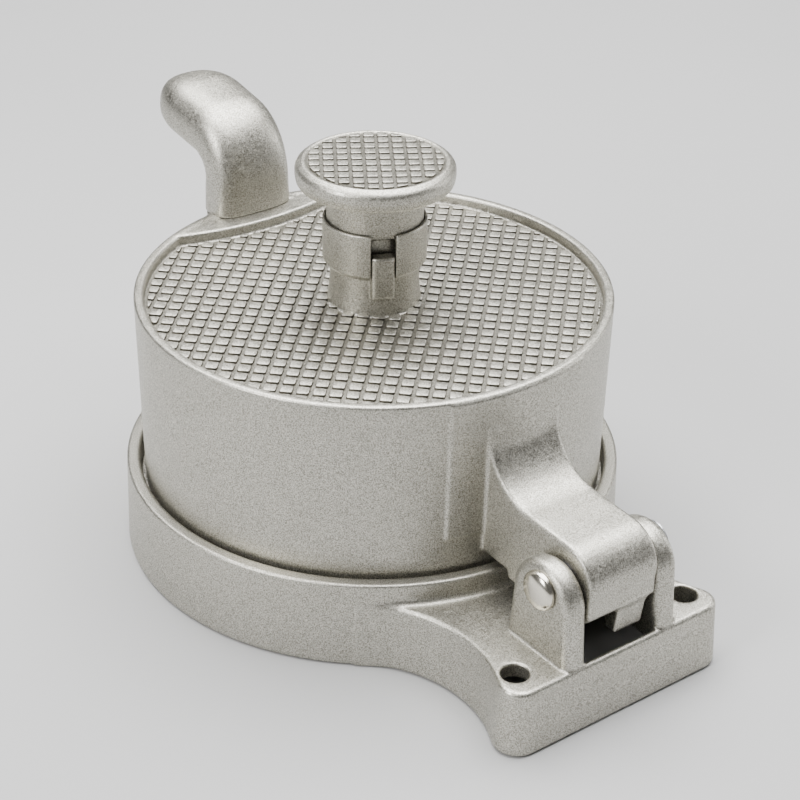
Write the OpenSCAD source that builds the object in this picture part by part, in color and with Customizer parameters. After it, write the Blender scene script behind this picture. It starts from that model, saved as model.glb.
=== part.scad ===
// Hinged patty press of cast aluminium: a round tray, a lid that is also the mould wall, and a hand-pressed plunger.
// The modules are drawn about the mould's axis, with the hinge at +Y and the handle at -Y, standing on z = 0.

/* [Mould and base] */
// Inside radius of the mould, half of a 4.5 inch patty
mould_r = 57.2; // [50:0.1:57.4]
// Outer radius of the lid at its rim
lid_r = 61; // [61:0.1:61.2]
// Outer radius of the base at its foot
base_r = 65.8; // [65.8:0.1:67]
// Height of the base's rear plate and tray floor
tray_h = 17.8; // [16:0.1:17.8]
// Height of the base's lip around the lid
lip_h = 23.4; // [22:0.1:24]
// Thickness of the tray floor and of the rear plate's top
floor_t = 4; // [3:0.1:5]
// Thickness of the base's skirt
skirt_t = 3.5; // [3:0.1:4]

/* [Rear plate and hinge] */
// Distance from the mould's axis to the rear plate's outer edge
plate_edge = 101.4; // [100.5:0.1:103]
// Radius of the rear plate's two corners
corner_r = 6; // [4.5:0.1:7]
// Distance between the two bench screw holes
screw_pitch = 53; // [50:0.5:55]
// Radius of the bench screw holes
screw_hole_r = 3.4; // [2.5:0.1:3.5]
// Height of the hinge pin's axis
hinge_z = 35.7; // [35.5:0.1:36]
// Radius of the hinge pin
pin_r = 3.5; // [2.5:0.1:4]
// Radius of the rounded tops of the two ears
ear_r = 10; // [9.5:0.1:10.2]

/* [Lid] */
// Height of the lid's rim
rim_h = 70.6; // [70:0.1:72]
// Depth of the lid's recessed top below the rim
recess_d = 3; // [2:0.1:3.4]
// Half the width of the hinge arm
arm_w = 10.4; // [9:0.1:10.4]
// Radius of the boss that guides the plunger
boss_r = 11.35; // [11:0.05:11.35]

/* [Handle] */
// Half the width of the handle above its foot
handle_a = 11.2; // [10.5:0.1:12]
// Half the thickness of the handle at its foot
handle_b = 6.5; // [6:0.1:6.6]
// Extra thickness of the handle's crowned top
handle_crown = 2.7; // [1:0.1:4]
// Height where the handle starts to bend outwards
handle_bend_z = 78.6; // [77:0.1:80]
// Length of the handle's straight outer part
handle_reach = 25.68; // [20:0.01:35]

/* [Plunger] */
// Radius of the knob
knob_r = 20; // [16:0.5:22]
// Height of the knob's top
knob_top = 105.4; // [104:0.1:108]
// Travel of the plunger
travel = 5; // [3:0.1:5]
// Height of the press plate's underside when the plunger is up
press_z = 41; // [30:0.5:44]

/* [Hidden] */
$fn = 96;
fit = 0.05;         // clearance of a shaft or a screw in its hole
gap = 0.3;          // clearance between castings that slide past each other
eps = 0.01;

// base
plate_z0 = tray_h - floor_t;
lip_in = lid_r + 0.6;
lip_out = base_r - 0.7;
side_r = 33;        // the rear plate's hollow flanks are arcs tangent to the round base
side_c = [62, 77];
hole_y = 92.4;
hinge_y = 89.3;
ear_in = 10.85;
ear_out = 17.25;
ear_y = 88.7;       // centre of the ears' rounded tops
ear_z = 32;
ear_draft = 1.1;    // the ears are wider at their feet by this much on each side
recess_y0 = 77;
recess_y1 = 98.8;

// lid
wall_z0 = tray_h + gap;
floor_z = rim_h - recess_d;
deck_z = floor_z - 3.6;
lid_foot_r = lid_r - 0.65;
rim_in = lid_r - 2.5;
hub_z = 60.5;
hub_r = 12;
pad_w = 20;
pad_z = 32;
ledge_r = 79;       // inner edge of the handle's ledge is an arc that bulges towards the boss
ledge_y = -127;
tooth_w = 8.6;
tooth_x = -3.9;

// handle
handle_y = -59.25;
bend_r = 11.35;
bend_a = 81.25;
tip_l = 15.9;
flare = 0.75;       // the foot is wider than the bar, over the first flare_h of height
flare_h = 12;
widening = 0.1;     // the bar's gain in width from foot to tip
hollowing = 0.7;    // what the bend's inner side lacks in thickness
foot_power = 0.62;  // the section is a rounded bar at the foot and nearly an ellipse at the tip
tip_power = 0.77;
section_sides = 32;

// plunger stack, from the top down
head_z = 99.5;
neck_r = 12.2;
neck_z = 89.6;
collar_r = 13.2;
collar_z = 77.9;
collar_top = 90.3;
web_z = 87.7;
web_t = 1.3;
rib_a = 64;         // direction of the boss's rib and of the collar's slot
rib_w = 5.8;
rib_z = [72.8, 84.4];
slot_w = 6.8;
boss_top = web_z - travel - gap;
pocket_r = 9.65;
pocket_z = 70.4;
sleeve_r = 9.4;     // the collar's inner sleeve, which hides the spring behind the slot
sleeve_in = 7.9;
sleeve_z = 80.2;
stem_r = 5;
bush_r = 7;
clip_z = 58.4;
washer_t = 0.6;
press_t = 4;
stem_z = press_z + press_t + washer_t;
coil_r = 6.6;
wire_r = 0.65;
coil_turns = 5;

// the origin is the middle of the bounding box's bottom
handle_l = (handle_bend_z - rim_h) + bend_r * bend_a * PI / 180 + handle_reach;
tip_y = handle_y - bend_r * (1 - cos(bend_a)) - handle_reach * sin(bend_a);
centre = [0, -(plate_edge + tip_y) / 2, 0];

function arc(c, r, a0, a1, n) = [for (i = [0:n]) c + r * [cos(a0 + (a1 - a0) * i / n), sin(a0 + (a1 - a0) * i / n)]];

function mirrored(p) = [for (i = [len(p) - 1:-1:0]) [-p[i][0], p[i][1]]];

// The rear plate's outline, drawn inwards by inset
function plate_half(inset) =
    let(
        r = corner_r - inset,
        flank = side_r + inset,
        y = plate_edge - corner_r,
        x = side_c[0] - sqrt(pow(flank + r, 2) - pow(y - side_c[1], 2)),
        a = atan2(y - side_c[1], x - side_c[0])
    )
    concat(
        [[0, 40], [40, 40]],
        arc(side_c, flank, 180 + atan2(side_c[1], side_c[0]), a, 24),
        arc([x, y], r, a - 180, 90, 10)
    );

module plate_shape(inset) {
    half = plate_half(inset);
    polygon(concat(half, mirrored(half)));
}

// A shape drawn in the (y, z) plane and extruded along x between x0 and x1
module across(x0, x1) {
    translate([x0, 0, 0])
        rotate([90, 0, 90])
            linear_extrude(x1 - x0)
                children();
}

// A ring or a disc about the z axis, from z0 to z1
module ring(r, hole, z0, z1) {
    translate([0, 0, z0])
        difference() {
            cylinder(r = r, h = z1 - z0);
            if (hole > 0)
                translate([0, 0, -1])
                    cylinder(r = hole, h = z1 - z0 + 2);
        }
}

// A round bar along x at the hinge's axis
module on_pin(r, x0, x1) {
    translate([x0, hinge_y, hinge_z])
        rotate([0, 90, 0])
            cylinder(r = r, h = x1 - x0);
}

module ear() {
    across(ear_in, ear_out) {
        translate([ear_y, ear_z])
            circle(ear_r);
        polygon([
            [ear_y - ear_r - ear_draft, plate_z0], [ear_y + ear_r + ear_draft, plate_z0],
            [ear_y + ear_r, ear_z], [ear_y - ear_r, ear_z]
        ]);
    }
}

module base_casting() {
    color([0.66, 0.66, 0.62])
        difference() {
            union() {
                rotate_extrude($fn = 180)
                    polygon([
                        [0, plate_z0], [base_r - skirt_t - 0.8, plate_z0], [base_r - skirt_t, 0], [base_r, 0],
                        [lip_out, lip_h - 0.6], [lip_out - 0.6, lip_h], [lip_in + 0.5, lip_h], [lip_in, lip_h - 0.5],
                        [lip_in, tray_h], [0, tray_h]
                    ]);
                difference() {
                    linear_extrude(tray_h)
                        plate_shape(0);
                    translate([0, 0, -1])
                        linear_extrude(plate_z0 + 1)
                            plate_shape(skirt_t);
                    translate([0, 0, -1])
                        cylinder(r = lip_out - 1, h = tray_h + 2, $fn = 180);
                }
                ear();
                mirror([1, 0, 0])
                    ear();
            }
            translate([-ear_in, recess_y0, plate_z0 - 1])
                cube([2 * ear_in, recess_y1 - recess_y0, floor_t + 2]);
            for (side = [-1, 1])
                translate([side * screw_pitch / 2, hole_y, plate_z0 - 1])
                    cylinder(r = screw_hole_r, h = floor_t + 2);
            on_pin(pin_r + fit, -ear_out - 1, ear_out + 1);
        }
}

// The hinge arm's side view, in the (y, z) plane
arm_shape = concat(
    [[lid_foot_r - 1, 26.5], [68.5, 26.2], [69.5, 24], [76, 24], [83, 27.3], [97, 27.3], [98.4, 29]],
    arc([hinge_y, hinge_z], 9.4, -15, 90, 16),
    [[84, 45.2]],
    arc([76.5, 61.5], 16, 270, 182, 16),
    [[lid_foot_r - 1, 61]]
);

module lid_boss() {
    translate([0, 0, deck_z])
        cylinder(r = boss_r, h = boss_top - deck_z);
    translate([0, 0, deck_z])
        cylinder(r1 = boss_r + 0.6, r2 = boss_r, h = 73.5 - deck_z);
    translate([0, 0, hub_z])
        cylinder(r = hub_r, h = deck_z - hub_z + 1);
    rotate([0, 0, rib_a])
        rotate([90, 0, 0])
            translate([0, 0, -rib_w / 2])
                linear_extrude(rib_w)
                    polygon([
                        [9.8, rib_z[0]], [12.6, rib_z[0]], [13.3, rib_z[0] + 1],
                        [13.3, rib_z[1] - 0.3], [13, rib_z[1]], [9.8, rib_z[1]]
                    ]);
}

module handle_foot() {
    polygon([
        for (i = [0:section_sides - 1])
            let(t = i * 360 / section_sides)
                [(handle_a + flare) * rounded(cos(t), foot_power), handle_b * rounded(sin(t), foot_power)]
    ]);
}

// Squares off a sine or cosine, which makes an ellipse a rounded bar
function rounded(v, power) = sign(v) * pow(abs(v), power);

module lid_casting() {
    color([0.68, 0.68, 0.64])
        difference() {
            union() {
                rotate_extrude($fn = 180)
                    polygon([
                        [0, deck_z], [mould_r, deck_z], [mould_r, wall_z0], [lid_foot_r, wall_z0],
                        [lid_r, rim_h - 0.5], [lid_r - 0.5, rim_h], [rim_in + 0.5, rim_h], [rim_in, rim_h - 0.5],
                        [rim_in, floor_z], [0, floor_z]
                    ]);
                translate([0, 0, deck_z])
                    linear_extrude(rim_h - deck_z)
                        intersection() {
                            circle(r = rim_in + 1, $fn = 180);
                            translate([0, ledge_y])
                                circle(r = ledge_r, $fn = 180);
                        }
                difference() {
                    translate([0, handle_y, rim_h - 14])
                        linear_extrude(14)
                            handle_foot();
                    translate([0, 0, wall_z0])
                        cylinder(r = mould_r, h = rim_h);
                }
                intersection() {
                    rotate_extrude($fn = 180)
                        polygon([[60, pad_z], [lid_foot_r + 0.7, pad_z], [lid_r + 0.5, rim_h - 0.6], [60, rim_h - 0.6]]);
                    translate([-pad_w, 0, 0])
                        cube([2 * pad_w, 80, rim_h]);
                }
                across(-arm_w, arm_w)
                    polygon(arm_shape);
                across(tooth_x - tooth_w / 2, tooth_x + tooth_w / 2)
                    polygon([[92.6, 28], [93.2, 20.5], [96.8, 20.5], [97.3, 28]]);
                lid_boss();
            }
            translate([0, 0, pocket_z])
                cylinder(r = pocket_r, h = 30);
            translate([0, 0, hub_z - 1])
                cylinder(r = bush_r, h = 20);
            on_pin(pin_r + fit, -arm_w - 1, arm_w + 1);
            handle_bolts(fit, 0);
        }
}

// The two screws that hold the handle from inside the lid, drawn larger by play
module handle_bolts(play, lift) {
    for (side = [-1, 1])
        translate([side * 6.5, -55.6, 0]) {
            translate([0, 0, deck_z - 1])
                cylinder(r = 2 + play, h = 17 + play);
            translate([0, 0, deck_z - 4 - lift])
                cylinder(r = 3.5 + play * 4, h = 4 + lift - (play > 0 ? -eps : 0));
        }
}

// The handle's rings: a rounded bar swept up, round a bend and out to a domed tip
function handle_at(s) =
    let(
        up = handle_bend_z - rim_h,
        bend = bend_r * bend_a * PI / 180,
        t = s < up ? 0 : min(bend_a, (s - up) / bend_r * 180 / PI),
        out = max(0, s - up - bend),
        y = handle_y - bend_r * (1 - cos(t)) - out * sin(t),
        z = rim_h + min(s, up) + bend_r * sin(t) + out * cos(t)
    )
    [y, z, t];

function dome(s) = s < handle_l - tip_l ? 1 : sqrt(max(0.0004, 1 - pow((s - handle_l + tip_l) / tip_l, 2)));

function smooth(u) = u * u * (3 - 2 * u);

handle_steps = concat(
    [for (i = [0:4]) (handle_bend_z - rim_h) * i / 4],
    [for (i = [1:9]) (handle_bend_z - rim_h) + bend_r * bend_a * PI / 180 * i / 9],
    [for (i = [1:3]) handle_l - handle_reach + (handle_reach - tip_l) * i / 3],
    [for (i = [1:10]) handle_l - tip_l + tip_l * sin(9 * i)]
);

handle_points = [
    for (s = handle_steps)
        let(
            p = handle_at(s),
            k = dome(s),
            bent = smooth(p[2] / bend_a),
            power = foot_power + (tip_power - foot_power) * bent,
            a = k * (handle_a * (1 + widening * s / handle_l) + flare * max(0, 1 - s / flare_h)),
            top = k * (handle_b + handle_crown * bent),
            under = k * (handle_b - hollowing * sin(180 * p[2] / bend_a))
        )
            for (i = [0:section_sides - 1])
                let(
                    t = i * 360 / section_sides,
                    u = (t < 180 ? top : under) * rounded(sin(t), power)
                )
                [a * rounded(cos(t), power), p[0] + u * cos(p[2]), p[1] + u * sin(p[2])]
];

module lid_handle() {
    rings = len(handle_steps);
    n = section_sides;
    color([0.70, 0.70, 0.66])
        difference() {
            polyhedron(
                points = handle_points,
                faces = concat(
                    [[for (i = [0:n - 1]) i]],
                    [
                        for (k = [0:rings - 2], i = [0:n - 1])
                            [k * n + i, (k + 1) * n + i, (k + 1) * n + (i + 1) % n, k * n + (i + 1) % n]
                    ],
                    [[for (i = [n - 1:-1:0]) (rings - 1) * n + i]]
                )
            );
            handle_bolts(fit, 0);
        }
}

module handle_screws() {
    color([0.55, 0.56, 0.58])
        difference() {
            handle_bolts(0, 0);
            for (side = [-1, 1])
                translate([side * 6.5, -55.6, deck_z - 5])
                    cylinder(r = 1.7, h = 3, $fn = 6);
        }
}

module hinge_pin() {
    color([0.80, 0.80, 0.80]) {
        on_pin(pin_r, -ear_out - 1.1, ear_out + 0.6);
        translate([ear_out + 0.1, hinge_y, hinge_z])
            rotate([0, 90, 0])
                rotate_extrude()
                    polygon(concat([[0, 0], [4.9, 0]], [for (t = [0:7.5:90]) [4.9 * cos(t), 0.8 + 1.9 * sin(t)]]));
    }
}

module pin_retainer() {
    color([0.45, 0.46, 0.48])
        difference() {
            on_pin(4.9, -ear_out - 0.7, -ear_out - 0.1);
            on_pin(pin_r + fit, -ear_out - 2, -ear_out + 1);
        }
}

module hinge_washers() {
    color([0.75, 0.75, 0.74])
        for (side = [0, 1])
            mirror([side, 0, 0])
                difference() {
                    on_pin(4.8, arm_w + fit, ear_in - fit);
                    on_pin(pin_r + fit, arm_w - 1, ear_in + 1);
                }
}

module stem_bush() {
    color([0.72, 0.55, 0.25])
        ring(bush_r, stem_r + fit, hub_z, pocket_z);
}

module spring_seat() {
    color([0.60, 0.60, 0.62])
        ring(pocket_r - 0.2, stem_r + 0.6, pocket_z, pocket_z + washer_t);
}

spring_z0 = pocket_z + washer_t + wire_r;
spring_z1 = web_z - wire_r;
coil_rings = 75;
coil_sides = 8;

// The spring's wire, one ring of points at a time, with a flat turn at each end
function coil_z(u) = spring_z0 + (spring_z1 - spring_z0) * min(1, max(0, (u * (coil_turns + 1.6) - 0.8) / coil_turns));

coil_points = [
    for (k = [0:coil_rings])
        let(u = k / coil_rings, a = 360 * (coil_turns + 1.6) * u, z = coil_z(u))
            for (i = [0:coil_sides - 1])
                let(t = 360 * i / coil_sides, r = coil_r + wire_r * cos(t))
                    [r * cos(a), r * sin(a), z + wire_r * sin(t)]
];

module return_spring() {
    n = coil_sides;
    color([0.58, 0.60, 0.62])
        polyhedron(
            points = coil_points,
            faces = concat(
                [[for (i = [n - 1:-1:0]) i]],
                [
                    for (k = [0:coil_rings - 1], i = [0:n - 1])
                        [k * n + i, k * n + (i + 1) % n, (k + 1) * n + (i + 1) % n, (k + 1) * n + i]
                ],
                [[for (i = [0:n - 1]) coil_rings * n + i]]
            )
        );
}

module stop_collar() {
    bore = boss_r + gap;
    color([0.66, 0.66, 0.62])
        difference() {
            rotate_extrude()
                polygon([
                    [bore, collar_z], [collar_r - 1.2, collar_z], [collar_r, collar_z + 1.4],
                    [collar_r, collar_top - 0.3], [collar_r - 0.3, collar_top], [neck_r + 0.6, collar_top],
                    [neck_r + gap, collar_top - 0.6], [neck_r + gap, web_z + web_t],
                    [stem_r + gap, web_z + web_t], [stem_r + gap, web_z], [sleeve_in, web_z],
                    [sleeve_in, sleeve_z], [sleeve_r, sleeve_z], [sleeve_r, web_z], [bore, web_z]
                ]);
            rotate([0, 0, rib_a])
                translate([9.4, -slot_w / 2, collar_z - 1])
                    cube([6, slot_w, collar_top - collar_z + 2]);
        }
}

module thrust_washer() {
    color([0.85, 0.83, 0.75])
        ring(9.2, stem_r + 0.2, web_z + web_t, neck_z - fit);
}

module knob() {
    color([0.70, 0.70, 0.66])
        difference() {
            rotate_extrude($fn = 128)
                polygon(concat(
                    [[0, neck_z], [neck_r, neck_z], [neck_r, head_z - 1], [neck_r + 1, head_z], [knob_r - 1.4, head_z]],
                    arc([knob_r - 1.5, head_z + 1.5], 1.5, -80, 0, 4),
                    arc([knob_r - 2, knob_top - 2.4], 2, 0, 90, 6),
                    [[16.6, knob_top - 0.4], [16.4, knob_top], [0, knob_top]]
                ));
            translate([0, 0, neck_z - 1])
                cylinder(r = stem_r + fit, h = 11.5);
            grub_hole(fit);
        }
}

// The set screw's radial hole, on the side away from the rib
module grub_hole(play) {
    translate([0, 0, 94.6])
        rotate([0, 90, rib_a + 180])
            translate([0, 0, stem_r - 0.5])
                cylinder(r = 2 + play, h = neck_r - stem_r + 2);
}

module knob_grub_screw() {
    color([0.25, 0.25, 0.27])
        translate([0, 0, 94.6])
            rotate([0, 90, rib_a + 180])
                difference() {
                    translate([0, 0, stem_r + fit])
                        cylinder(r = 2, h = 5);
                    translate([0, 0, stem_r + 3])
                        cylinder(r = 1, h = 4, $fn = 6);
                }
}

module plunger_stem() {
    color([0.72, 0.73, 0.75])
        difference() {
            translate([0, 0, stem_z])
                cylinder(r = stem_r, h = neck_z + 10.4 - stem_z);
            ring(stem_r + 1, stem_r - 0.7, clip_z - fit, clip_z + 1 + fit);
            translate([0, 0, stem_z - 1])
                cylinder(r = 2.5 + fit, h = 14);
        }
}

module stem_clip() {
    color([0.45, 0.46, 0.48])
        ring(7.8, stem_r - 0.7 + fit, clip_z, clip_z + 1);
}

module stop_washer() {
    color([0.12, 0.12, 0.12])
        ring(8.5, stem_r + fit, clip_z + 1 + fit, hub_z - fit);
}

module press_plate() {
    color([0.70, 0.70, 0.68])
        difference() {
            translate([0, 0, press_z])
                rotate_extrude($fn = 180)
                    polygon([
                        [0, 0], [mould_r - 1.1, 0], [mould_r - 0.6, 0.5],
                        [mould_r - 0.6, 3], [mould_r - 1, 3.4], [0, 3.4]
                    ]);
            translate([0, 0, press_z - 1])
                cylinder(r = 2.5 + fit, h = press_t + 2);
            translate([0, 0, press_z - eps])
                cylinder(r1 = 4.9, r2 = 2.5 + fit, h = 2.4);
        }
    color([0.70, 0.70, 0.68])
        ring(10, 2.5 + fit, press_z + 3, press_z + press_t);
}

module plate_lock_washer() {
    color([0.60, 0.60, 0.62])
        ring(7, 2.6, press_z + press_t, stem_z);
}

module plate_screw() {
    color([0.62, 0.63, 0.65])
        difference() {
            union() {
                translate([0, 0, press_z])
                    cylinder(r1 = 4.8, r2 = 2.45, h = 2.4);
                translate([0, 0, press_z + 1])
                    cylinder(r = 2.5, h = 15);
            }
            translate([0, 0, press_z - 1])
                cylinder(r = 1.6, h = 3, $fn = 6);
        }
}

module placed() {
    translate(centre)
        children();
}

placed() base_casting();
placed() lid_casting();
placed() lid_handle();
placed() handle_screws();
placed() hinge_pin();
placed() pin_retainer();
placed() hinge_washers();
placed() stem_bush();
placed() spring_seat();
placed() return_spring();
placed() stop_collar();
placed() thrust_washer();
placed() knob();
placed() knob_grub_screw();
placed() plunger_stem();
placed() stem_clip();
placed() stop_washer();
placed() press_plate();
placed() plate_lock_washer();
placed() plate_screw();
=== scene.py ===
"""Looks of a cast-aluminium hinged patty press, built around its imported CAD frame.

Sizes are in millimetres about the mould's axis, with the hinge at +Y, and are turned into the frame's metres
where a mesh is made. The axis and the stacking heights come from the CAD nodes' boxes.
"""

import math

import bmesh
import bpy
import numpy as np
from mathutils import Matrix, Vector


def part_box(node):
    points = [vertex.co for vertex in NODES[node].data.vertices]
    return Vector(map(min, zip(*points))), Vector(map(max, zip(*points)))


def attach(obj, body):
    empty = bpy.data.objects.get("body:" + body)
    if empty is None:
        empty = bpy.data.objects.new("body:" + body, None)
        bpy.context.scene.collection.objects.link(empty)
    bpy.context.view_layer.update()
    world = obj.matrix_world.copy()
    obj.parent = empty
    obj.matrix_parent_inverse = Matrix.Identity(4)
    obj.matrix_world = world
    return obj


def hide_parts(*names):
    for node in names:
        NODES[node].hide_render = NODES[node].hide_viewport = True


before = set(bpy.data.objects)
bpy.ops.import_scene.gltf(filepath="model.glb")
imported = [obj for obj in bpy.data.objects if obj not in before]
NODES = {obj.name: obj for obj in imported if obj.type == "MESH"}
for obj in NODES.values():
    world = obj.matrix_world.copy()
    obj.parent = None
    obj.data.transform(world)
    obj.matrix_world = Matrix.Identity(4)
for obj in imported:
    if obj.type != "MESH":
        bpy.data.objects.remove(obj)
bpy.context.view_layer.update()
MM = 0.001

# ---------------------------------------------------------------- sizes read from the frame, in millimetres


def limits(node):
    """Lowest and highest corner of a CAD node, in millimetres about the mould's axis."""
    low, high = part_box(node)
    return (low - AXIS) / MM, (high - AXIS) / MM


plate_low, plate_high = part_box("press_plate")
AXIS = Vector(((plate_low.x + plate_high.x) / 2, (plate_low.y + plate_high.y) / 2, 0))
_, base_high = limits("base_casting")
lid_low, _ = limits("lid_casting")
knob_low, knob_high = limits("knob")
collar_low, collar_high = limits("stop_collar")
pin_low, pin_high = limits("hinge_pin")
handle_low, _ = limits("lid_handle")
press_low, press_high = limits("press_plate")
hub_low, hub_high = limits("stem_bush")

BASE_R = base_high.x
PLATE_EDGE = base_high.y
TRAY_Z = lid_low.z - 0.3
RIM_Z = handle_low.z
HINGE_Y = (pin_low.y + pin_high.y) / 2
HINGE_Z = (pin_low.z + pin_high.z) / 2
KNOB_R = knob_high.x
KNOB_TOP = knob_high.z
COLLAR_R = collar_high.x

LIP_Z = 23.4
FLOOR_T = 4.0
SKIRT_T = 3.5
MOULD_R = 57.2
LID_R = 61.0
RIM_W = 2.5
RECESS = 3.0
DECK_T = 3.6
SIDE_R = 33.0
SIDE_C = (62.0, 77.0)
CORNER_R = 6.0
HOLE_Y = 92.4
HOLE_X = 26.5
HOLE_R = 3.4
EAR_IN = 10.85
EAR_OUT = 17.25
EAR_R = 10.0
EAR_Y = 88.7
EAR_Z = 32.0
EAR_DRAFT = 1.1
ARM_W = 10.4
TOOTH_X = -3.9
PIN_R = 3.5
LEDGE_R = 79.0
LEDGE_Y = -127.0
BOSS_R = 11.35
BOSS_TOP = 82.4
RIB_A = math.radians(64)
RIB_W = 5.8
SLOT_W = 6.3
POCKET_R = 9.65
SLEEVE_R = 9.4
SLEEVE_IN = 7.9
SLEEVE_Z = 80.2
PAD_H = 0.5
WEB_Z = 87.7
WEB_T = 1.3
NECK_R = 12.2
NECK_Z = knob_low.z
HEAD_Z = 99.5
HANDLE_A = 11.2
HANDLE_B = 6.5
HANDLE_CROWN = 2.7
HANDLE_Y = -59.25
FLARE = 0.75
FLARE_H = 12.0
WIDENING = 0.1
HOLLOWING = 0.7
FOOT_POWER = 0.62
TIP_POWER = 0.77
BEND_Z = 78.6
BEND_R = 11.35
BEND_A = math.radians(81.25)
REACH = 25.68
TIP = 15.9

# ---------------------------------------------------------------- distance fields


def join(a, b, r):
    """Union of two distance fields with a fillet of radius r."""
    u = np.maximum(r - a, 0)
    v = np.maximum(r - b, 0)
    return np.maximum(r, np.minimum(a, b)) - np.sqrt(u * u + v * v)


def meet(a, b, r):
    """Intersection of two distance fields with edges rounded by radius r."""
    u = np.maximum(r + a, 0)
    v = np.maximum(r + b, 0)
    return np.minimum(-r, np.maximum(a, b)) + np.sqrt(u * u + v * v)


def cut(a, b, r):
    """a without b, with the new edges rounded by radius r."""
    return meet(a, -b, r)


def polygon(u, v, points):
    """Signed distance to a polygon, negative inside."""
    best = None
    sign = None
    for i, (ax, ay) in enumerate(points):
        bx, by = points[i - 1]
        ex, ey = bx - ax, by - ay
        wx, wy = u - ax, v - ay
        t = np.clip((wx * ex + wy * ey) / (ex * ex + ey * ey), 0, 1)
        d = (wx - ex * t) ** 2 + (wy - ey * t) ** 2
        above, below, left = (v >= ay), (v < by), (ex * wy > ey * wx)
        flip = (above & below & left) | (~above & ~below & ~left)
        best = d if best is None else np.minimum(best, d)
        sign = np.where(flip, -1.0, 1.0) if sign is None else np.where(flip, -sign, sign)
    return (sign * np.sqrt(best)).astype(np.float32)


def inset(points, r):
    """The polygon moved inwards by r, with its corners kept."""
    p = np.array(points, float)
    n = len(p)
    area = sum(p[i - 1][0] * p[i][1] - p[i][0] * p[i - 1][1] for i in range(n)) / 2
    lines = []
    for i in range(n):
        e = p[(i + 1) % n] - p[i]
        e /= np.hypot(*e)
        normal = np.array([-e[1], e[0]]) * (1 if area > 0 else -1)
        lines.append((p[i] + normal * r, e))
    out = []
    for i in range(n):
        (q0, d0), (q1, d1) = lines[i - 1], lines[i]
        m = np.array([d0, -d1]).T
        out.append(tuple(q0 + d0 * np.linalg.solve(m, q1 - q0)[0]))
    return out


def lathe(points, r):
    """A distance field of a (radius, height) profile turned about the axis, convex corners rounded by r."""
    step = 0.2
    us = np.arange(0, 92, step, dtype=np.float32)
    vs = np.arange(-4, 110, step, dtype=np.float32)
    table = polygon(us[:, None], vs[None, :], inset(points, r)) - np.float32(r)

    def field(x, y, z):
        fu = np.sqrt(x * x + y * y) / step
        fv = (z - vs[0]) / step
        fu = np.clip(fu, 0, len(us) - 1.001)
        fv = np.clip(fv, 0, len(vs) - 1.001)
        i = fu.astype(np.int32)
        j = fv.astype(np.int32)
        a = (fu - i).astype(np.float32)
        b = (fv - j).astype(np.float32)
        low = table[i, j] * (1 - a) + table[i + 1, j] * a
        high = table[i, j + 1] * (1 - a) + table[i + 1, j + 1] * a
        return low * (1 - b) + high * b

    return field


def slab(v, low, high):
    """Distance field of the space between two planes."""
    return np.maximum(low - v, v - high)


def bar(u, v, cu, cv, r):
    """An endless round bar."""
    return np.sqrt((u - cu) ** 2 + (v - cv) ** 2) - r


def arc(c, r, a0, a1, n):
    """n + 1 points on an arc, with angles in degrees."""
    return [
        (c[0] + r * math.cos(math.radians(a)), c[1] + r * math.sin(math.radians(a)))
        for a in np.linspace(a0, a1, n + 1)
    ]


def surface_net(field, low, high, step):
    """Vertices and quads of a distance field's zero surface, with every vertex moved onto it."""
    xs, ys, zs = [np.arange(a, b + step, step, dtype=np.float32) for a, b in zip(low, high)]
    grid = field(xs[:, None, None], ys[None, :, None], zs[None, None, :])
    grid = np.broadcast_to(grid, (len(xs), len(ys), len(zs)))
    inside = grid < 0
    count = np.zeros([n - 1 for n in grid.shape], np.int8)
    corners = [(i, j, k) for i in (0, 1) for j in (0, 1) for k in (0, 1)]
    for i, j, k in corners:
        count += inside[i : i + count.shape[0], j : j + count.shape[1], k : k + count.shape[2]]
    cells = np.argwhere((count > 0) & (count < 8))
    values = np.stack([grid[cells[:, 0] + i, cells[:, 1] + j, cells[:, 2] + k] for i, j, k in corners], 1)
    total = np.zeros((len(cells), 3), np.float32)
    hits = np.zeros(len(cells), np.float32)
    for a in range(8):
        for b in range(a + 1, 8):
            delta = np.subtract(corners[b], corners[a])
            if np.abs(delta).sum() != 1:
                continue
            va, vb = values[:, a], values[:, b]
            crossed = (va < 0) != (vb < 0)
            t = np.where(crossed, va / np.where(crossed, va - vb, 1), 0)
            point = np.array(corners[a], np.float32) + t[:, None] * delta
            total += point * crossed[:, None]
            hits += crossed
    points = (cells + total / hits[:, None]) * step + np.array([xs[0], ys[0], zs[0]])
    number = np.full(count.shape, -1, np.int32)
    number[tuple(cells.T)] = np.arange(len(cells))
    quads = []
    for axis in range(3):
        turned = np.moveaxis(inside, axis, 0)
        numbers = np.moveaxis(number, axis, 0)
        change = turned[:-1] != turned[1:]
        change[:, 0] = change[:, -1] = False
        change[:, :, 0] = change[:, :, -1] = False
        i, j, k = np.nonzero(change)
        ring = [numbers[i, j - 1, k - 1], numbers[i, j, k - 1], numbers[i, j, k], numbers[i, j - 1, k]]
        quad = np.stack(ring, 1)
        outward = turned[i, j, k] == (axis != 1)
        quads.append(np.where(outward[:, None], quad, quad[:, ::-1]))
    points = points.astype(np.float64)
    for _ in range(2):
        d = field(*points.T.astype(np.float32))
        e = 0.05
        grad = np.stack(
            [
                field(*(points + o).T.astype(np.float32)) - field(*(points - o).T.astype(np.float32))
                for o in np.eye(3) * e
            ],
            1,
        ) / (2 * e)
        size = np.maximum((grad**2).sum(1), 0.25)
        points -= grad * np.clip(d / size, -step / 2, step / 2)[:, None]
    return points, np.concatenate(quads)


# ---------------------------------------------------------------- meshes


def to_frame(points):
    """Millimetres about the mould's axis to the frame's metres."""
    return np.asarray(points, float) * MM + np.array(AXIS)


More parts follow.
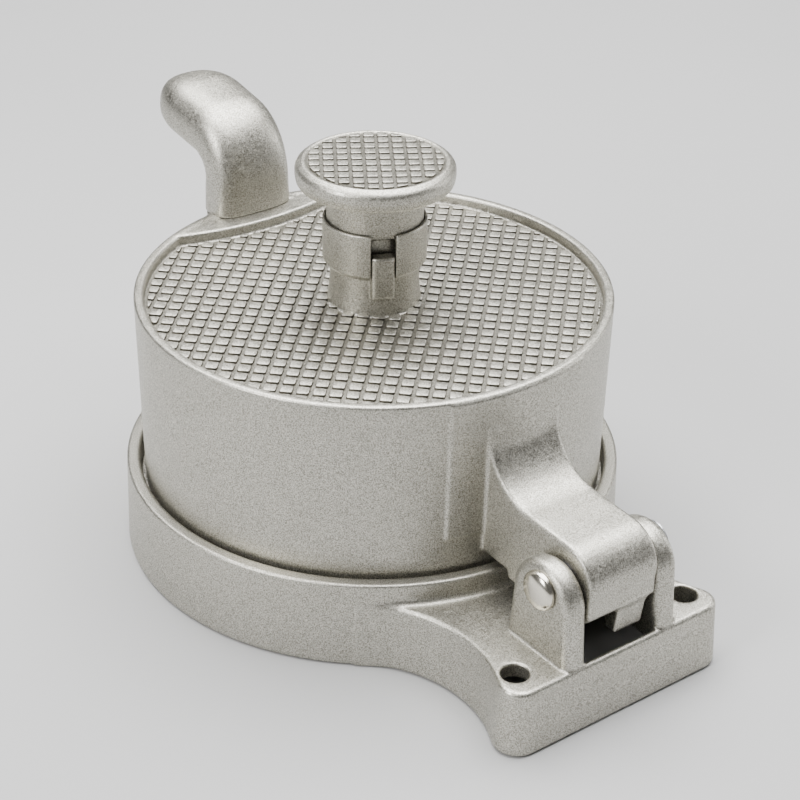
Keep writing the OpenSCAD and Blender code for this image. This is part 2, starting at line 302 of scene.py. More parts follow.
def mesh_object(name, points, faces, smooth=True):
    """An object from points in millimetres and faces of one length or of many."""
    mesh = bpy.data.meshes.new(name)
    if isinstance(faces, np.ndarray):
        mesh.vertices.add(len(points))
        mesh.vertices.foreach_set("co", to_frame(points).ravel())
        mesh.loops.add(faces.size)
        mesh.loops.foreach_set("vertex_index", faces.ravel().astype(np.int32))
        mesh.polygons.add(len(faces))
        mesh.polygons.foreach_set("loop_start", np.arange(0, faces.size, faces.shape[1], dtype=np.int32))
        mesh.update(calc_edges=True)
    else:
        mesh.from_pydata([tuple(p) for p in to_frame(points)], [], faces)
    mesh.validate()
    obj = bpy.data.objects.new(name, mesh)
    bpy.context.scene.collection.objects.link(obj)
    mesh.polygons.foreach_set("use_smooth", [smooth] * len(mesh.polygons))
    return obj


def apply_modifiers(obj):
    """Replaces an object's mesh by the one that its modifiers give."""
    graph = bpy.context.evaluated_depsgraph_get()
    mesh = bpy.data.meshes.new_from_object(obj.evaluated_get(graph))
    obj.modifiers.clear()
    obj.data = mesh


def from_field(name, field, node, step, keep=1.0):
    """A casting's mesh from its distance field, held inside its CAD node's box and thinned to a share."""
    low, high = (np.array(corner) for corner in limits(node))
    points, quads = surface_net(field, low - 1.5, high + 1.5, step)
    points = np.clip(points, low, high)
    obj = mesh_object(name, points, quads)
    if keep < 1:
        thin = obj.modifiers.new("thin", "DECIMATE")
        thin.ratio = keep
        apply_modifiers(obj)
        obj.data.polygons.foreach_set("use_smooth", [True] * len(obj.data.polygons))
    return obj


def turned(name, profile, sides, axis="Z", place=(0, 0, 0), angle=35):
    """A lathe mesh: profile is (radius, height) from the bottom's centre to the top's, or a closed loop."""
    closed = profile[0][0] > 1e-6
    rings = []
    points = []
    for r, h in profile:
        if r < 1e-6:
            rings.append([len(points)])
            points.append((0, 0, h))
            continue
        rings.append(list(range(len(points), len(points) + sides)))
        for i in range(sides):
            t = 2 * math.pi * i / sides
            points.append((r * math.cos(t), r * math.sin(t), h))
    faces = []
    pairs = list(zip(rings, rings[1:])) + ([(rings[-1], rings[0])] if closed else [])
    for a, b in pairs:
        for i in range(sides):
            j = (i + 1) % sides
            if len(a) == 1:
                faces.append((a[0], b[j], b[i]))
            elif len(b) == 1:
                faces.append((a[i], a[j], b[0]))
            else:
                faces.append((a[i], a[j], b[j], b[i]))
    points = np.array(points, float)
    if axis == "X":
        points = points[:, [2, 0, 1]]
    obj = mesh_object(name, points + np.array(place), faces)
    obj.data.set_sharp_from_angle(angle=math.radians(angle))
    return obj


def rounded(points, r, n=4, closed=False):
    """A profile with its corners turned into arcs of radius r, or less where the sides are short."""
    p = [Vector(q) for q in points]
    out = []
    for i, q in enumerate(p):
        if not closed and i in (0, len(p) - 1):
            out.append(tuple(q))
            continue
        a, b = p[i - 1] - q, p[(i + 1) % len(p)] - q
        turn = a.angle(b)
        reach = min(r / math.tan(turn / 2), a.length * 0.49, b.length * 0.49)
        start, end = q + a.normalized() * reach, q + b.normalized() * reach
        for k in range(n + 1):
            t = k / n
            out.append(tuple((1 - t) ** 2 * start + 2 * t * (1 - t) * q + t * t * end))
    return out


# ---------------------------------------------------------------- base


def plate_outline(by):
    """The rear plate's outline, drawn inwards by a distance."""
    r = CORNER_R - by
    flank = SIDE_R + by
    y = PLATE_EDGE - CORNER_R
    x = SIDE_C[0] - math.sqrt((flank + r) ** 2 - (y - SIDE_C[1]) ** 2)
    a = math.degrees(math.atan2(y - SIDE_C[1], x - SIDE_C[0]))
    start = 180 + math.degrees(math.atan2(SIDE_C[1], SIDE_C[0]))
    half = [(40.0, 38.0)] + arc(SIDE_C, flank, start, a, 20) + arc((x, y), r, a - 180, 90, 10)[1:]
    return half + [(-u, v) for u, v in reversed(half)]


BASE_LATHE = lathe(
    [
        (-5, TRAY_Z - FLOOR_T),
        (BASE_R - SKIRT_T - 0.8, TRAY_Z - FLOOR_T),
        (BASE_R - SKIRT_T, 0),
        (BASE_R, 0),
        (BASE_R - 0.7, LIP_Z),
        (LID_R + 0.6, LIP_Z),
        (LID_R + 0.6, TRAY_Z),
        (-5, TRAY_Z),
    ],
    0.7,
)


def ear_field(x, y, z):
    side = np.abs(x)
    draft = EAR_DRAFT * (EAR_Z - z) / (EAR_Z - TRAY_Z)
    outline = np.minimum(
        bar(y, z, EAR_Y, EAR_Z, EAR_R),
        np.maximum(np.abs(y - EAR_Y) - EAR_R - draft, slab(z, TRAY_Z - 2, EAR_Z)),
    )
    thickness = meet(EAR_IN - side, side - EAR_OUT, 0.1)
    return meet(outline, thickness, 2.3)


def base_field(x, y, z):
    draft = z * (1.1 / TRAY_Z)
    flank = polygon(x, y, plate_outline(0.0)) + draft
    plate = meet(flank, slab(z, 0, TRAY_Z), 1.1)
    hollow = np.maximum(polygon(x, y, plate_outline(SKIRT_T + 0.5)), z - TRAY_Z + FLOOR_T)
    outside = LID_R + 2.5 - np.sqrt(x * x + y * y)
    plate = np.maximum(cut(plate, hollow, 0.6), outside)
    solid = join(BASE_LATHE(x, y, z), plate, 1.6)
    solid = join(solid, ear_field(x, y, z), 0.6)
    recess = np.maximum(slab(x, -EAR_IN, EAR_IN), slab(y, 77.0, 98.6))
    solid = cut(solid, np.maximum(recess, slab(z, TRAY_Z - FLOOR_T - 3, TRAY_Z + 3)), 0.7)
    solid = cut(solid, bar(np.abs(x), y, HOLE_X, HOLE_Y, HOLE_R - 0.02), 0.5)
    return cut(solid, np.maximum(bar(y, z, HINGE_Y, HINGE_Z, PIN_R + 0.05), slab(x, -20, 20)), 0.4)


# ---------------------------------------------------------------- lid

FLOOR_Z = RIM_Z - RECESS
DECK_Z = FLOOR_Z - DECK_T
FOOT_R = LID_R - 0.65

LID_LATHE = lathe(
    [
        (-5, DECK_Z),
        (MOULD_R, DECK_Z),
        (MOULD_R, lid_low.z),
        (FOOT_R, lid_low.z),
        (LID_R, RIM_Z),
        (LID_R - RIM_W, RIM_Z),
        (LID_R - RIM_W, FLOOR_Z),
        (-5, FLOOR_Z),
    ],
    0.6,
)

ARM_SIDE = (
    [(FOOT_R - 2, 26.5), (68.5, 26.2), (69.5, 24.0), (76, 24), (83, 27.3), (97, 27.3), (98.4, 29)]
    + arc((HINGE_Y, HINGE_Z), 9.4, -15, 90, 16)
    + [(84, 45.2)]
    + arc((76.5, 61.5), 16, 270, 182, 16)
    + [(FOOT_R - 2, 61)]
)


def foot_shape(x, y, grow=0.0):
    """The handle foot's rounded outline as a distance field that is close enough near its edge."""
    a, b = HANDLE_A + FLARE + grow, HANDLE_B + grow
    power = 2 / FOOT_POWER
    q = (np.abs(x / a) ** power + np.abs((y - HANDLE_Y) / b) ** power) ** (1 / power)
    return (q - 1) * b


def lid_field(x, y, z):
    radius = np.sqrt(x * x + y * y)
    solid = LID_LATHE(x, y, z)
    ledge = np.maximum(bar(x, y, 0, LEDGE_Y, LEDGE_R), radius - LID_R + 1)
    ledge = meet(ledge, slab(z, DECK_Z + 1, RIM_Z), 0.6)
    solid = join(solid, ledge, 0.7)
    lug = meet(foot_shape(x, y, -0.3), slab(z, RIM_Z - 14, RIM_Z), 0.8)
    solid = join(solid, np.maximum(lug, MOULD_R + 0.5 - radius), 1.5)
    wall = FOOT_R + (z - lid_low.z) * (LID_R - FOOT_R) / (RIM_Z - lid_low.z)
    pad = meet(radius - wall - 0.45, slab(z, 32, RIM_Z - 0.7), 0.35)
    pad = meet(pad, slab(x, -20, 20), 0.35)
    solid = join(solid, np.maximum(pad, np.maximum(58.5 - radius, 40 - y)), 0.4)
    arm = meet(polygon(y, z, ARM_SIDE), slab(x, -ARM_W, ARM_W), 1.1)
    tooth = polygon(y, z, [(92.6, 30), (93.2, 20.5), (96.8, 20.5), (98.1, 30)])
    tooth = meet(tooth, np.abs(x - TOOTH_X) - 4.3, 0.5)
    solid = join(solid, join(arm, tooth, 1.0), 0.9)
    solid = join(solid, meet(radius - 12, slab(z, hub_low.z, DECK_Z + 1), 0.5), 1.5)
    foot = BOSS_R + 0.6 * np.clip((73.5 - z) / (73.5 - FLOOR_Z), 0, 1)
    boss = meet(radius - foot, slab(z, DECK_Z + 1, BOSS_TOP), 0.4)
    solid = join(solid, boss, 0.25)
    along = x * math.cos(RIB_A) + y * math.sin(RIB_A)
    aside = y * math.cos(RIB_A) - x * math.sin(RIB_A)
    rib = polygon(along, z, [(9.8, 72.8), (12.6, 72.8), (13.3, 74.0), (13.3, 84.4), (9.8, 84.4)])
    flanks = np.maximum(slab(aside, -RIB_W / 2, RIB_W / 2), (np.abs(aside) + along - 15.45) * math.sqrt(0.5))
    solid = join(solid, meet(rib, flanks, 0.45), 0.3)
    solid = cut(solid, np.maximum(radius - 7.0, slab(z, hub_low.z - 3, RIM_Z + 3)), 0.3)
    solid = cut(solid, np.maximum(radius - POCKET_R, slab(z, hub_high.z, RIM_Z + 30)), 0.3)
    return cut(solid, np.maximum(bar(y, z, HINGE_Y, HINGE_Z, PIN_R + 0.05), slab(x, -20, 20)), 0.5)


# ---------------------------------------------------------------- handle


def handle_centre(s):
    """Height, distance and tilt of the handle's middle line, s millimetres up from the lid's ledge."""
    up = BEND_Z - RIM_Z
    bend = BEND_R * BEND_A
    t = min(BEND_A, max(0.0, (s - up) / BEND_R))
    out = max(0.0, s - up - bend)
    y = HANDLE_Y - BEND_R * (1 - math.cos(t)) - out * math.sin(t)
    z = RIM_Z + min(s, up) + BEND_R * math.sin(t) + out * math.cos(t)
    return y, z, t


def handle():
    """A rounded bar swept up, round its bend and out to a domed tip."""
    length = (BEND_Z - RIM_Z) + BEND_R * BEND_A + REACH
    sides = 96
    body = list(np.linspace(0.5, length - TIP, 84))
    tip = [length - TIP + TIP * math.sin(math.pi / 2 * i / 28) for i in range(1, 28)]
    steps = [(0.0, -0.45), (0.12, -0.16), (0.3, -0.04)] + [(s, 0.0) for s in body + tip]
    points = []
    for s, grow in steps:
        y, z, t = handle_centre(s)
        dome = max(0.0, (s - length + TIP) / TIP)
        k = math.sqrt(1 - dome**2)
        bent = t / BEND_A
        bent = bent * bent * (3 - 2 * bent)
        power = FOOT_POWER + (TIP_POWER - FOOT_POWER) * bent
        a = k * (HANDLE_A * (1 + WIDENING * s / length) + FLARE * max(0.0, 1 - s / FLARE_H)) + grow
        top = k * (HANDLE_B + HANDLE_CROWN * bent) + grow
        under = k * (HANDLE_B - HOLLOWING * math.sin(math.pi * t / BEND_A)) + grow
        for i in range(sides):
            c, d = math.cos(2 * math.pi * i / sides), math.sin(2 * math.pi * i / sides)
            u = math.copysign(abs(d) ** power, d) * (top if d > 0 else under)
            x = math.copysign(abs(c) ** power, c) * a
            points.append((x, y + u * math.cos(t), z + u * math.sin(t)))
    rings = len(steps)
    faces = [tuple(range(sides - 1, -1, -1))]
    for k in range(rings - 1):
        for i in range(sides):
            j = (i + 1) % sides
            faces.append((k * sides + i, k * sides + j, (k + 1) * sides + j, (k + 1) * sides + i))
    y, z, t = handle_centre(length)
    points.append((0.0, y, z))
    last = (rings - 1) * sides
    faces += [(last + i, last + (i + 1) % sides, len(points) - 1) for i in range(sides)]
    obj = mesh_object("handle", points, faces)
    mesh = bmesh.new()
    mesh.from_mesh(obj.data)
    bmesh.ops.recalc_face_normals(mesh, faces=mesh.faces)
    mesh.to_mesh(obj.data)
    mesh.free()
    return obj


# ---------------------------------------------------------------- waffle pads


def clip(points, normal, limit):
    """The part of a convex polygon where normal . p <= limit."""
    out = []
    for i, q in enumerate(points):
        p = points[i - 1]
        a, b = p @ normal - limit, q @ normal - limit
        if (a <= 0) != (b <= 0):
            out.append(p + (q - p) * (a / (a - b)))
        if b <= 0:
            out.append(q)
    return out


def area(points):
    """Signed area of a polygon."""
    return sum(points[i - 1][0] * q[1] - q[0] * points[i - 1][1] for i, q in enumerate(points)) / 2


def chamfered(points, c):
    """A polygon with its corners cut off by c, or less on short sides."""
    out = []
    for i, q in enumerate(points):
        p, n = points[i - 1], points[(i + 1) % len(points)]
        for other in (p, n):
            side = np.hypot(*(other - q))
            out.append(q + (other - q) * min(c / side, 0.3))
    return out


def waffle(name, corner, turn, pitch, size, floor, height, edges):
    """Raised square pads in a turned grid. edges(centre) gives the lines that the pads are clipped by."""
    u = np.array([math.cos(turn), math.sin(turn)])
    v = np.array([-u[1], u[0]])
    points, faces = [], []
    for i in range(-40, 41):
        for j in range(-40, 41):
            start = np.array(corner) + u * pitch * i + v * pitch * j
            pad = [start, start + u * size, start + (u + v) * size, start + v * size]
            for normal, limit in edges(start + (u + v) * size / 2):
                pad = clip(pad, normal, limit) if len(pad) > 2 else []
            if len(pad) < 3 or area(pad) < 0.9:
                continue
            pad = chamfered([q for k, q in enumerate(pad) if np.hypot(*(q - pad[k - 1])) > 0.05], 0.28)
            middle = sum(pad) / len(pad)
            first = len(points)
            n = len(pad)
            for grow, z in PAD_RINGS:
                for q in pad:
                    way = (q - middle) / np.hypot(*(q - middle))
                    points.append((*(q + way * grow), floor + z * height))
            for k in range(len(PAD_RINGS) - 1):
                for m in range(n):
                    o = (m + 1) % n
                    a, b = first + k * n, first + (k + 1) * n
                    faces.append((a + m, a + o, b + o, b + m))
            faces.append(tuple(range(first + (len(PAD_RINGS) - 1) * n, first + len(PAD_RINGS) * n)))
            faces.append(tuple(range(first + n - 1, first - 1, -1)))
    return mesh_object(name, points, faces)


PAD_RINGS = [(0.06, -0.3), (0.03, 0.3), (0.0, 0.8), (-0.06, 0.95), (-0.2, 1.0)]


def lid_edges(centre):
    """The round border, the handle's ledge and the boss, as lines near a pad."""
    r = np.hypot(*centre)
    ledge = centre - np.array([0, LEDGE_Y])
    away = np.hypot(*ledge)
    return [
        (centre / r, LID_R - RIM_W - 1.0),
        (-ledge / away, -(LEDGE_R + 0.9) - ledge[1] / away * LEDGE_Y),
        (-centre / r, -(BOSS_R + 0.5)),
    ]


def knob_edges(centre):
    """The round border of the knob's waffle, as a line near a pad."""
    r = np.hypot(*centre)
    return [(centre / r, 16.8)] if r > 0.1 else []


# ---------------------------------------------------------------- knob, collar and pin


def knob():
    top = KNOB_TOP - PAD_H
    profile = (
        [(0, NECK_Z + 0.01), (6, NECK_Z + 0.01)]
        + rounded([(6, NECK_Z), (NECK_R, NECK_Z), (NECK_R, HEAD_Z - 0.6)], 0.5)[1:-1]
        + rounded([(NECK_R, 95), (NECK_R, HEAD_Z), (18, HEAD_Z)], 1.2)[1:-1]
        + rounded(
            [
                (15, HEAD_Z),
                (KNOB_R - 0.4, HEAD_Z),
                (KNOB_R, HEAD_Z + 2.2),
                (KNOB_R, KNOB_TOP - 1.3),
                (18.0, KNOB_TOP - 0.03),
                (17.0, top),
                (12, top),
            ],
            3.0,
            12,
        )[1:-1]
        + [(12, top), (0, top)]
    )
    return turned("knob_head", profile, 144, angle=80)


def collar_field(x, y, z):
    radius = np.sqrt(x * x + y * y)
    bore = BOSS_R + 0.3
    low, high = collar_low.z, collar_high.z
    solid = meet(radius - COLLAR_R, slab(z, low, high), 0.45)
    chamfer = (radius - COLLAR_R + 1.2) * 0.76 - (z - low) * 0.65
    solid = np.maximum(solid, chamfer)
    solid = cut(solid, np.maximum(radius - bore, z - WEB_Z), 0.25)
    sleeve = np.maximum(slab(radius, SLEEVE_IN, SLEEVE_R), slab(z, SLEEVE_Z, WEB_Z + 0.5))
    solid = np.minimum(solid, sleeve)
    solid = cut(solid, np.maximum(radius - NECK_R - 0.3, WEB_Z + WEB_T - z), 0.35)
    solid = cut(solid, radius - 5.3, 0.2)
    along = x * math.cos(RIB_A) + y * math.sin(RIB_A)
    aside = y * math.cos(RIB_A) - x * math.sin(RIB_A)
    return cut(solid, np.maximum(slab(aside, -SLOT_W / 2, SLOT_W / 2), SLEEVE_R - along), 0.3)


def pin():
    ends = [(0, pin_low.x), (PIN_R - 0.8, pin_low.x), (PIN_R, pin_low.x + 0.8)]
    reach = pin_high.x - 2.7
    head = [(4.9 * math.cos(t), reach + 0.8 + 1.9 * math.sin(t)) for t in np.linspace(0, math.pi / 2, 13)]
    profile = ends + [(PIN_R, reach), (4.6, reach), (4.9, reach + 0.25)] + head[:-1] + [(0, reach + 2.7)]
    return turned("pin_with_head", profile, 96, "X", (0, HINGE_Y, HINGE_Z), 50)


def retainer():
    """A push-on ring with six teeth, dished towards the ear."""
    low, _ = limits("pin_retainer")
    points, faces = [], []
    count = 72
    radii = [(PIN_R + 0.02, low.x + 0.02), (4.1, low.x + 0.15), (4.6, low.x + 0.15), (4.9, low.x + 0.08)]
    for side in (0, 1):
        for r, x in radii:
            for i in range(count):
                t = 2 * math.pi * i / count
                reach = 4.15 if i % 12 < 3 and r < 4.5 else r
                points.append((x + side * 0.4, HINGE_Y + reach * math.cos(t), HINGE_Z + reach * math.sin(t)))
    n = len(radii)
    for i in range(count):
        j = (i + 1) % count
        for k in range(n - 1):
            a, b = k * count, (k + 1) * count
            faces.append((a + i, b + i, b + j, a + j))
            a, b = a + n * count, b + n * count
            faces.append((a + i, a + j, b + j, b + i))
        faces.append((i, j, n * count + j, n * count + i))
        a = (n - 1) * count
        faces.append((a + i, a + n * count + i, a + n * count + j, a + j))
    obj = mesh_object("pin_push_on_ring", points, faces)
    obj.data.set_sharp_from_angle(angle=math.radians(40))
    return obj


def press_plate():
    low, high = press_low, press_high
    profile = rounded(
        [
            (2.55, low.z + 2.4),
            (4.9, low.z),
            (press_high.x, low.z),
            (press_high.x, low.z + 3.4),
            (10, low.z + 3.4),
            (10, high.z),
            (2.55, high.z),
        ],
        0.45,
        4,
        True,
    )
    return turned("press_disc", profile, 160)


# ---------------------------------------------------------------- materials


def material(name, roughness, metallic, **sockets):
    """A material with a Principled shader, and its node tree."""
    mat = bpy.data.materials.new(name)
    mat.use_nodes = True
    tree = mat.node_tree
    shader = tree.nodes["Principled BSDF"]
    shader.inputs["Roughness"].default_value = roughness
    shader.inputs["Metallic"].default_value = metallic
    for key, value in sockets.items():
        shader.inputs[key.replace("_", " ")].default_value = value
    return mat, tree, shader


def noise(tree, size, detail=2.0, rough=0.5, stretch=None):
    """Noise whose grains are about size millimetres, in the object's own coordinates."""
    place = tree.nodes.new("ShaderNodeTexCoord")
    source = place.outputs["Object"]
    if stretch:
        scale = tree.nodes.new("ShaderNodeMapping")
        scale.inputs["Scale"].default_value = stretch
        tree.links.new(source, scale.inputs["Vector"])
        source = scale.outputs["Vector"]
    node = tree.nodes.new("ShaderNodeTexNoise")
    node.inputs["Scale"].default_value = 1 / (size * MM)
    node.inputs["Detail"].default_value = detail
    node.inputs["Roughness"].default_value = rough
    tree.links.new(source, node.inputs["Vector"])
    return node.outputs["Fac"]


def ramp(tree, source, stops):
    """A colour ramp over source; each stop is a place and a grey value or a colour."""
    node = tree.nodes.new("ShaderNodeValToRGB")
    band = node.color_ramp
    for k, (place, value) in enumerate(stops):
        mark = band.elements[k] if k < 2 else band.elements.new(place)
        mark.position = place
        mark.color = (*value, 1) if isinstance(value, tuple) else (value, value, value, 1)
    tree.links.new(source, node.inputs["Fac"])
    return node.outputs["Color"]


def mixed(tree, factor, a, b, kind="MIX"):
    """Colour a turned towards b by factor; each is an output or a constant."""
    node = tree.nodes.new("ShaderNodeMix")
    node.data_type = "RGBA"
    node.blend_type = kind
    for socket, value in ((node.inputs[0], factor), (node.inputs[6], a), (node.inputs[7], b)):
        if isinstance(value, (int, float)):
            socket.default_value = value if socket.type == "VALUE" else (value, value, value, 1)
        elif isinstance(value, tuple):
            socket.default_value = (*value, 1)
        else:
            tree.links.new(value, socket)
    return node.outputs[2]


def bump(tree, shader, heights):
    """Chains bumps; each is (height output, strength, depth in millimetres)."""
    normal = None
    for source, strength, depth in heights:
        node = tree.nodes.new("ShaderNodeBump")
        node.inputs["Strength"].default_value = strength
        node.inputs["Distance"].default_value = depth * MM
        tree.links.new(source, node.inputs["Height"])
        if normal:
            tree.links.new(normal, node.inputs["Normal"])
        normal = node.outputs["Normal"]
    tree.links.new(normal, shader.inputs["Normal"])


def split_z(tree, vector):
    """The Z component of a vector output."""
    split = tree.nodes.new("ShaderNodeSeparateXYZ")
    tree.links.new(vector, split.inputs[0])
    return split.outputs["Z"]


def compare(tree, source, kind, value, band=0.0):
    """1 where a comparison of source with value holds, else 0."""
    node = tree.nodes.new("ShaderNodeMath")
    node.operation = kind
    node.inputs[1].default_value = value
    node.inputs[2].default_value = band
    tree.links.new(source, node.inputs[0])
    return node.outputs[0]


def cast_aluminium(name, painted_side_shade=False, shaded_groove_z=None):
    """Bead-blasted casting: fine sparkling grain, cloudy tone, and edges lightened by pointiness, partly as
    wear from handling and partly as a painted highlight.

    The pads' upright sides can be given painted shade, and so can the grooves between pads, at the height
    passed in for them.
    """
    light, dark, worn_edge_highlight = (0.66, 0.64, 0.575), (0.24, 0.23, 0.195), (0.74, 0.725, 0.665)
    mat, tree, shader = material(name, 0.5, 1.0)
    grain = noise(tree, 0.3, 2, 0.65)
    cloud = noise(tree, 9, 3, 0.55)
    tone = mixed(tree, ramp(tree, grain, [(0.37, 0.0), (0.63, 1.0)]), dark, light)
    patches = ramp(tree, cloud, [(0.3, (0.86, 0.86, 0.84)), (0.7, (1.0, 1.0, 1.0))])
    tone = mixed(tree, 0.35, tone, patches, "MULTIPLY")
    edge = tree.nodes.new("ShaderNodeNewGeometry").outputs["Pointiness"]
    # Pointiness lightens edges and corners: partly wear from handling, partly a painted highlight.
    tone = mixed(tree, ramp(tree, edge, [(0.53, 0.0), (0.64, 0.45)]), tone, worn_edge_highlight)
    place = tree.nodes.new("ShaderNodeTexCoord")
    up = split_z(tree, place.outputs["Normal"])
    height = split_z(tree, place.outputs["Object"])
    if painted_side_shade:
        # Painted shade: faces whose object-space normal points sideways are darkened.
        side = ramp(tree, up, [(0.25, (0.30, 0.29, 0.27)), (0.85, (1.0, 1.0, 1.0))])
        tone = mixed(tree, 1.0, tone, side, "MULTIPLY")
    if shaded_groove_z:
        # Painted shade: upward-facing faces at the groove floor's height between the pads are darkened.
        level = compare(tree, height, "COMPARE", shaded_groove_z * MM, 0.2 * MM)
        level = mixed(tree, compare(tree, up, "GREATER_THAN", 0.9), 0.0, level)
        tone = mixed(tree, level, tone, mixed(tree, 1.0, tone, (0.55, 0.545, 0.53), "MULTIPLY"))
    tree.links.new(tone, shader.inputs["Base Color"])
    tree.links.new(ramp(tree, noise(tree, 0.9, 2), [(0.3, 0.36), (0.7, 0.52)]), shader.inputs["Roughness"])
    bump(tree, shader, [(cloud, 0.2, 0.2), (grain, 0.6, 0.05)])
    return mat


def metal(name, colour, rough, grain_size=0.2, stretch=None, dark=0.8):
    """Machined or plated metal with fine lines or grain."""
    mat, tree, shader = material(name, rough, 1.0)
    grain = noise(tree, grain_size, 3, 0.6, stretch)
    low = tuple(c * dark for c in colour)
    tree.links.new(ramp(tree, grain, [(0.35, low), (0.65, colour)]), shader.inputs["Base Color"])
    worn = ramp(tree, grain, [(0.3, rough * 0.8), (0.7, min(1.0, rough * 1.3))])
    tree.links.new(worn, shader.inputs["Roughness"])
    bump(tree, shader, [(grain, 0.15, 0.02)])
    return mat


def moulded(name, colour, rough):
    """Plain plastic or rubber with a faint grain."""
    mat, tree, shader = material(name, rough, 0.0)
    grain = noise(tree, 0.6, 2)
    low = tuple(c * 0.8 for c in colour)
    tree.links.new(ramp(tree, grain, [(0.35, low), (0.65, colour)]), shader.inputs["Base Color"])
    worn = ramp(tree, grain, [(0.3, rough * 0.9), (0.7, min(1.0, rough * 1.1))])
    tree.links.new(worn, shader.inputs["Roughness"])
    bump(tree, shader, [(grain, 0.2, 0.05)])
    return mat


MATERIALS = {
    "cast_aluminium": cast_aluminium("cast_aluminium"),
    "polished_steel": metal("polished_steel", (0.78, 0.74, 0.64), 0.2),
    "zinc_steel": metal("zinc_steel", (0.66, 0.67, 0.69), 0.32),
    "black_steel": metal("black_steel", (0.10, 0.10, 0.11), 0.42),
    "bronze": metal("bronze", (0.62, 0.42, 0.20), 0.35),
    "nylon": moulded("nylon", (0.80, 0.78, 0.70), 0.45),
    "rubber": moulded("rubber", (0.03, 0.03, 0.03), 0.75),
}


# These copies carry painted shade: darkened pad sides on the pads, darkened groove floors on lid and knob.
WAFFLE_SIDE_SHADE = cast_aluminium("cast_aluminium_waffle_painted_side_shade", painted_side_shade=True)
LID_CASTING_GROOVE_SHADE = cast_aluminium("cast_aluminium_lid_painted_groove_shade", shaded_groove_z=FLOOR_Z)
KNOB_CASTING_GROOVE_SHADE = cast_aluminium("cast_aluminium_knob_painted_groove_shade", shaded_groove_z=KNOB_TOP - PAD_H)


def finished(obj, body, slot, *nodes):
    """Gives a made piece its material, its body and the CAD nodes that it stands for."""
    obj.data.materials.clear()
    obj.data.materials.append(MATERIALS[slot])
    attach(obj, body)
    if nodes:
        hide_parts(*nodes)
    return obj


STEP = 0.5  # grid of the large castings, in millimetres
base = from_field("base_body", base_field, "base_casting", STEP, 0.4)
finished(base, "base", "cast_aluminium", "base_casting")
lid = from_field("lid_body", lid_field, "lid_casting", STEP, 0.4)
finished(lid, "lid", "cast_aluminium", "lid_casting").data.materials[0] = LID_CASTING_GROOVE_SHADE
collar = from_field("collar_body", collar_field, "stop_collar", 0.2, 0.5)
finished(collar, "collar", "cast_aluminium", "stop_collar")
finished(handle(), "lid", "cast_aluminium", "lid_handle")
finished(knob(), "plunger", "cast_aluminium", "knob").data.materials[0] = KNOB_CASTING_GROOVE_SHADE
lid_turn, knob_turn = math.radians(135), math.radians(56.5)
lid_pads = waffle("lid_pads", (52.69, -23.14), lid_turn, 3.95, 2.95, FLOOR_Z, 0.65, lid_edges)
finished(lid_pads, "lid", "cast_aluminium")
lid_pads.data.materials[0] = WAFFLE_SIDE_SHADE
knob_pads = waffle("knob_pads", (-0.45, -11.5), knob_turn, 3.5, 2.6, KNOB_TOP - PAD_H, PAD_H, knob_edges)
finished(knob_pads, "plunger", "cast_aluminium")
knob_pads.data.materials[0] = WAFFLE_SIDE_SHADE
finished(pin(), "base", "polished_steel", "hinge_pin")
finished(retainer(), "base", "zinc_steel", "pin_retainer")
finished(press_plate(), "plunger", "cast_aluminium", "press_plate")

CAD_SLOTS = {
    "polished_steel": ["plunger_stem", "hinge_pin"],
    "zinc_steel": [
        "pin_retainer",
        "handle_screws",
        "spring_seat",
        "return_spring",
        "plate_lock_washer",
        "plate_screw",
    ],
    "black_steel": ["hinge_washers", "knob_grub_screw", "stem_clip"],
    "bronze": ["stem_bush"],
    "nylon": ["thrust_washer"],
    "rubber": ["stop_washer"],
}
CAD_SLOTS["cast_aluminium"] = sorted(set(NODES) - {name for names in CAD_SLOTS.values() for name in names})
for slot, names in CAD_SLOTS.items():
    for name in names:
        slots = NODES[name].data.materials
        slots.clear()
        slots.append(MATERIALS[slot])

# ---------------------------------------------------------------- studio


def light(name, place, target, size, power):
    """A white soft box that faces target."""
    data = bpy.data.lights.new(name, "AREA")
    data.shape = "RECTANGLE"
    data.size, data.size_y = size
    data.energy = power
    obj = bpy.data.objects.new(name, data)
    obj.location = place
    obj.rotation_euler = (Vector(target) - Vector(place)).to_track_quat("-Z", "Y").to_euler()
    bpy.context.scene.collection.objects.link(obj)


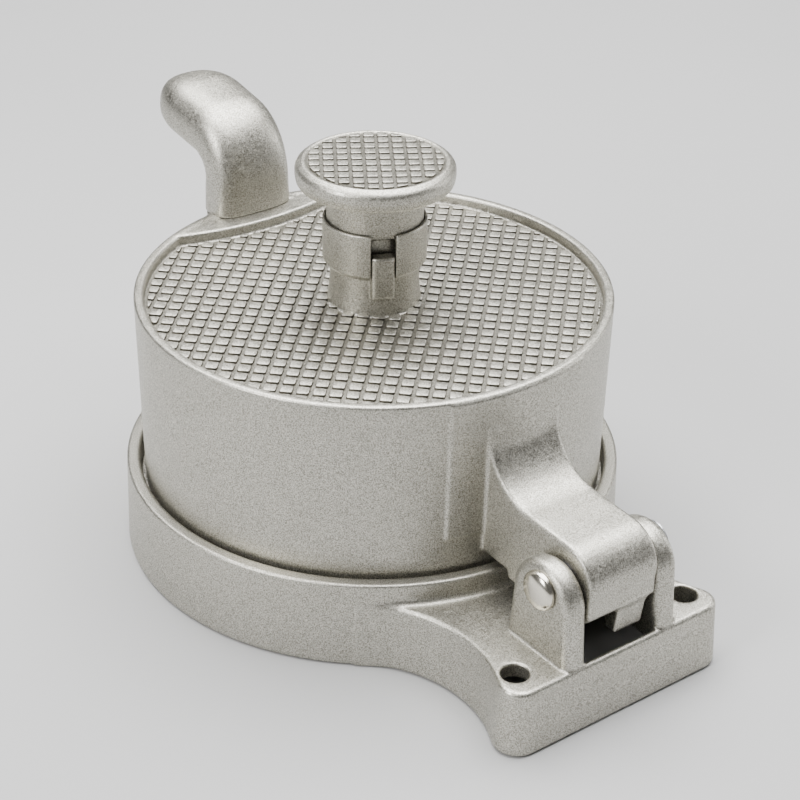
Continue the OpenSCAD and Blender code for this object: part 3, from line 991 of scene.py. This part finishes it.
def studio():
    world = bpy.data.worlds.new("studio")
    bpy.context.scene.world = world
    world.use_nodes = True
    back = world.node_tree.nodes["Background"]
    back.inputs["Color"].default_value = (1.0, 1.0, 1.0, 1)
    back.inputs["Strength"].default_value = 0.12
    size = 5.0
    floor = bpy.data.meshes.new("floor")
    corners = [(-size, -size, 0), (size, -size, 0), (size, size, 0), (-size, size, 0)]
    floor.from_pydata(corners, [], [(0, 1, 2, 3)])
    sheet = bpy.data.objects.new("floor", floor)
    sheet.location.z = -0.0002
    bpy.context.scene.collection.objects.link(sheet)
    mat, tree, shader = material("floor", 0.7, 0.0, Base_Color=(0.41, 0.41, 0.41, 1))
    tree.links.new(
        ramp(tree, noise(tree, 300, 2), [(0.3, (0.39, 0.39, 0.39)), (0.7, (0.42, 0.42, 0.42))]),
        shader.inputs["Base Color"],
    )
    floor.materials.append(mat)
    light("overhead", (-0.12, -0.16, 0.95), (0, 0, 0.05), (1.2, 1.0), 42)
    light("left", (1.0, 0.05, 0.65), (0, 0, 0.05), (0.35, 0.5), 13)
    light("right", (-0.9, 0.3, 0.35), (0, 0, 0.05), (0.35, 0.5), 3)


def camera():
    """519 mm from a point 30 mm above the base's foot, 31 degrees up, on the hinge's side."""
    azimuth, elevation, roll = math.radians(53.688), math.radians(31.369), math.radians(0.696)
    away = 519.185
    target = Vector((0, 0, 30))
    level = math.cos(elevation)
    back = Vector((math.cos(azimuth) * level, math.sin(azimuth) * level, math.sin(elevation)))
    right = Vector((-math.sin(azimuth), math.cos(azimuth), 0))
    up = back.cross(right)
    turned_right = right * math.cos(roll) + up * math.sin(roll)
    turned_up = up * math.cos(roll) - right * math.sin(roll)
    data = bpy.data.cameras.new("camera")
    data.lens = 88.01
    data.sensor_width = 36
    data.shift_x = 0.0344
    data.shift_y = 0.0263
    obj = bpy.data.objects.new("camera", data)
    turn = Matrix((turned_right, turned_up, back)).transposed().to_4x4()
    obj.matrix_world = Matrix.Translation(to_frame(target + back * away)) @ turn
    bpy.context.scene.collection.objects.link(obj)
    bpy.context.scene.camera = obj


studio()
camera()
